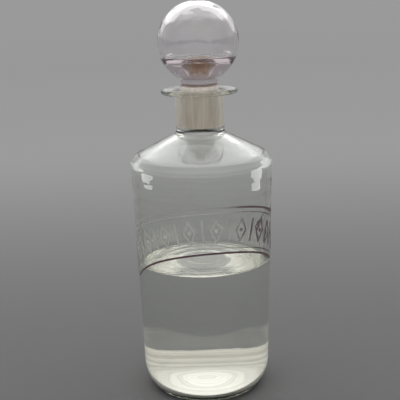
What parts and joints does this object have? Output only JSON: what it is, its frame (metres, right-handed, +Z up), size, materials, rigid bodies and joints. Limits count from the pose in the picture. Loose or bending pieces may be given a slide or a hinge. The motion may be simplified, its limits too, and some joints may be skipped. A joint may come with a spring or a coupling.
{
  "type": "apothecary bottle",
  "caption": "Tall round clear glass bottle with a sloping shoulder, flanged lip, hollow ball stopper on a ground plug and an arched label border, part filled with clear liquid.",
  "frame": {"origin": "middle of the foot, on the surface the bottle stands on", "axes": "+Z up along the bottle's axis, -Y towards the front, where the label is; the label's middle is turned 10 degrees towards +X"},
  "size_m": [0.0958, 0.0958, 0.266],
  "materials": {
    "clear_glass": "polished",
    "ground_glass": "matte",
    "liquid": "polished",
    "enamel": "satin"
  },
  "bodies": {
    "bottle": {"bottle_body": "clear_glass", "lip_flange": "clear_glass", "label_border": "enamel", "liquid": "liquid"},
    "stopper": {"stopper_plug": "ground_glass", "stopper_ball": "clear_glass"}
  },
  "joints": [
    {"name": "stopper_lift", "type": "slide", "parent": "bottle", "child": "stopper", "axis": [0, 0, 1], "range_m": [0, 0.06]}
  ]
}
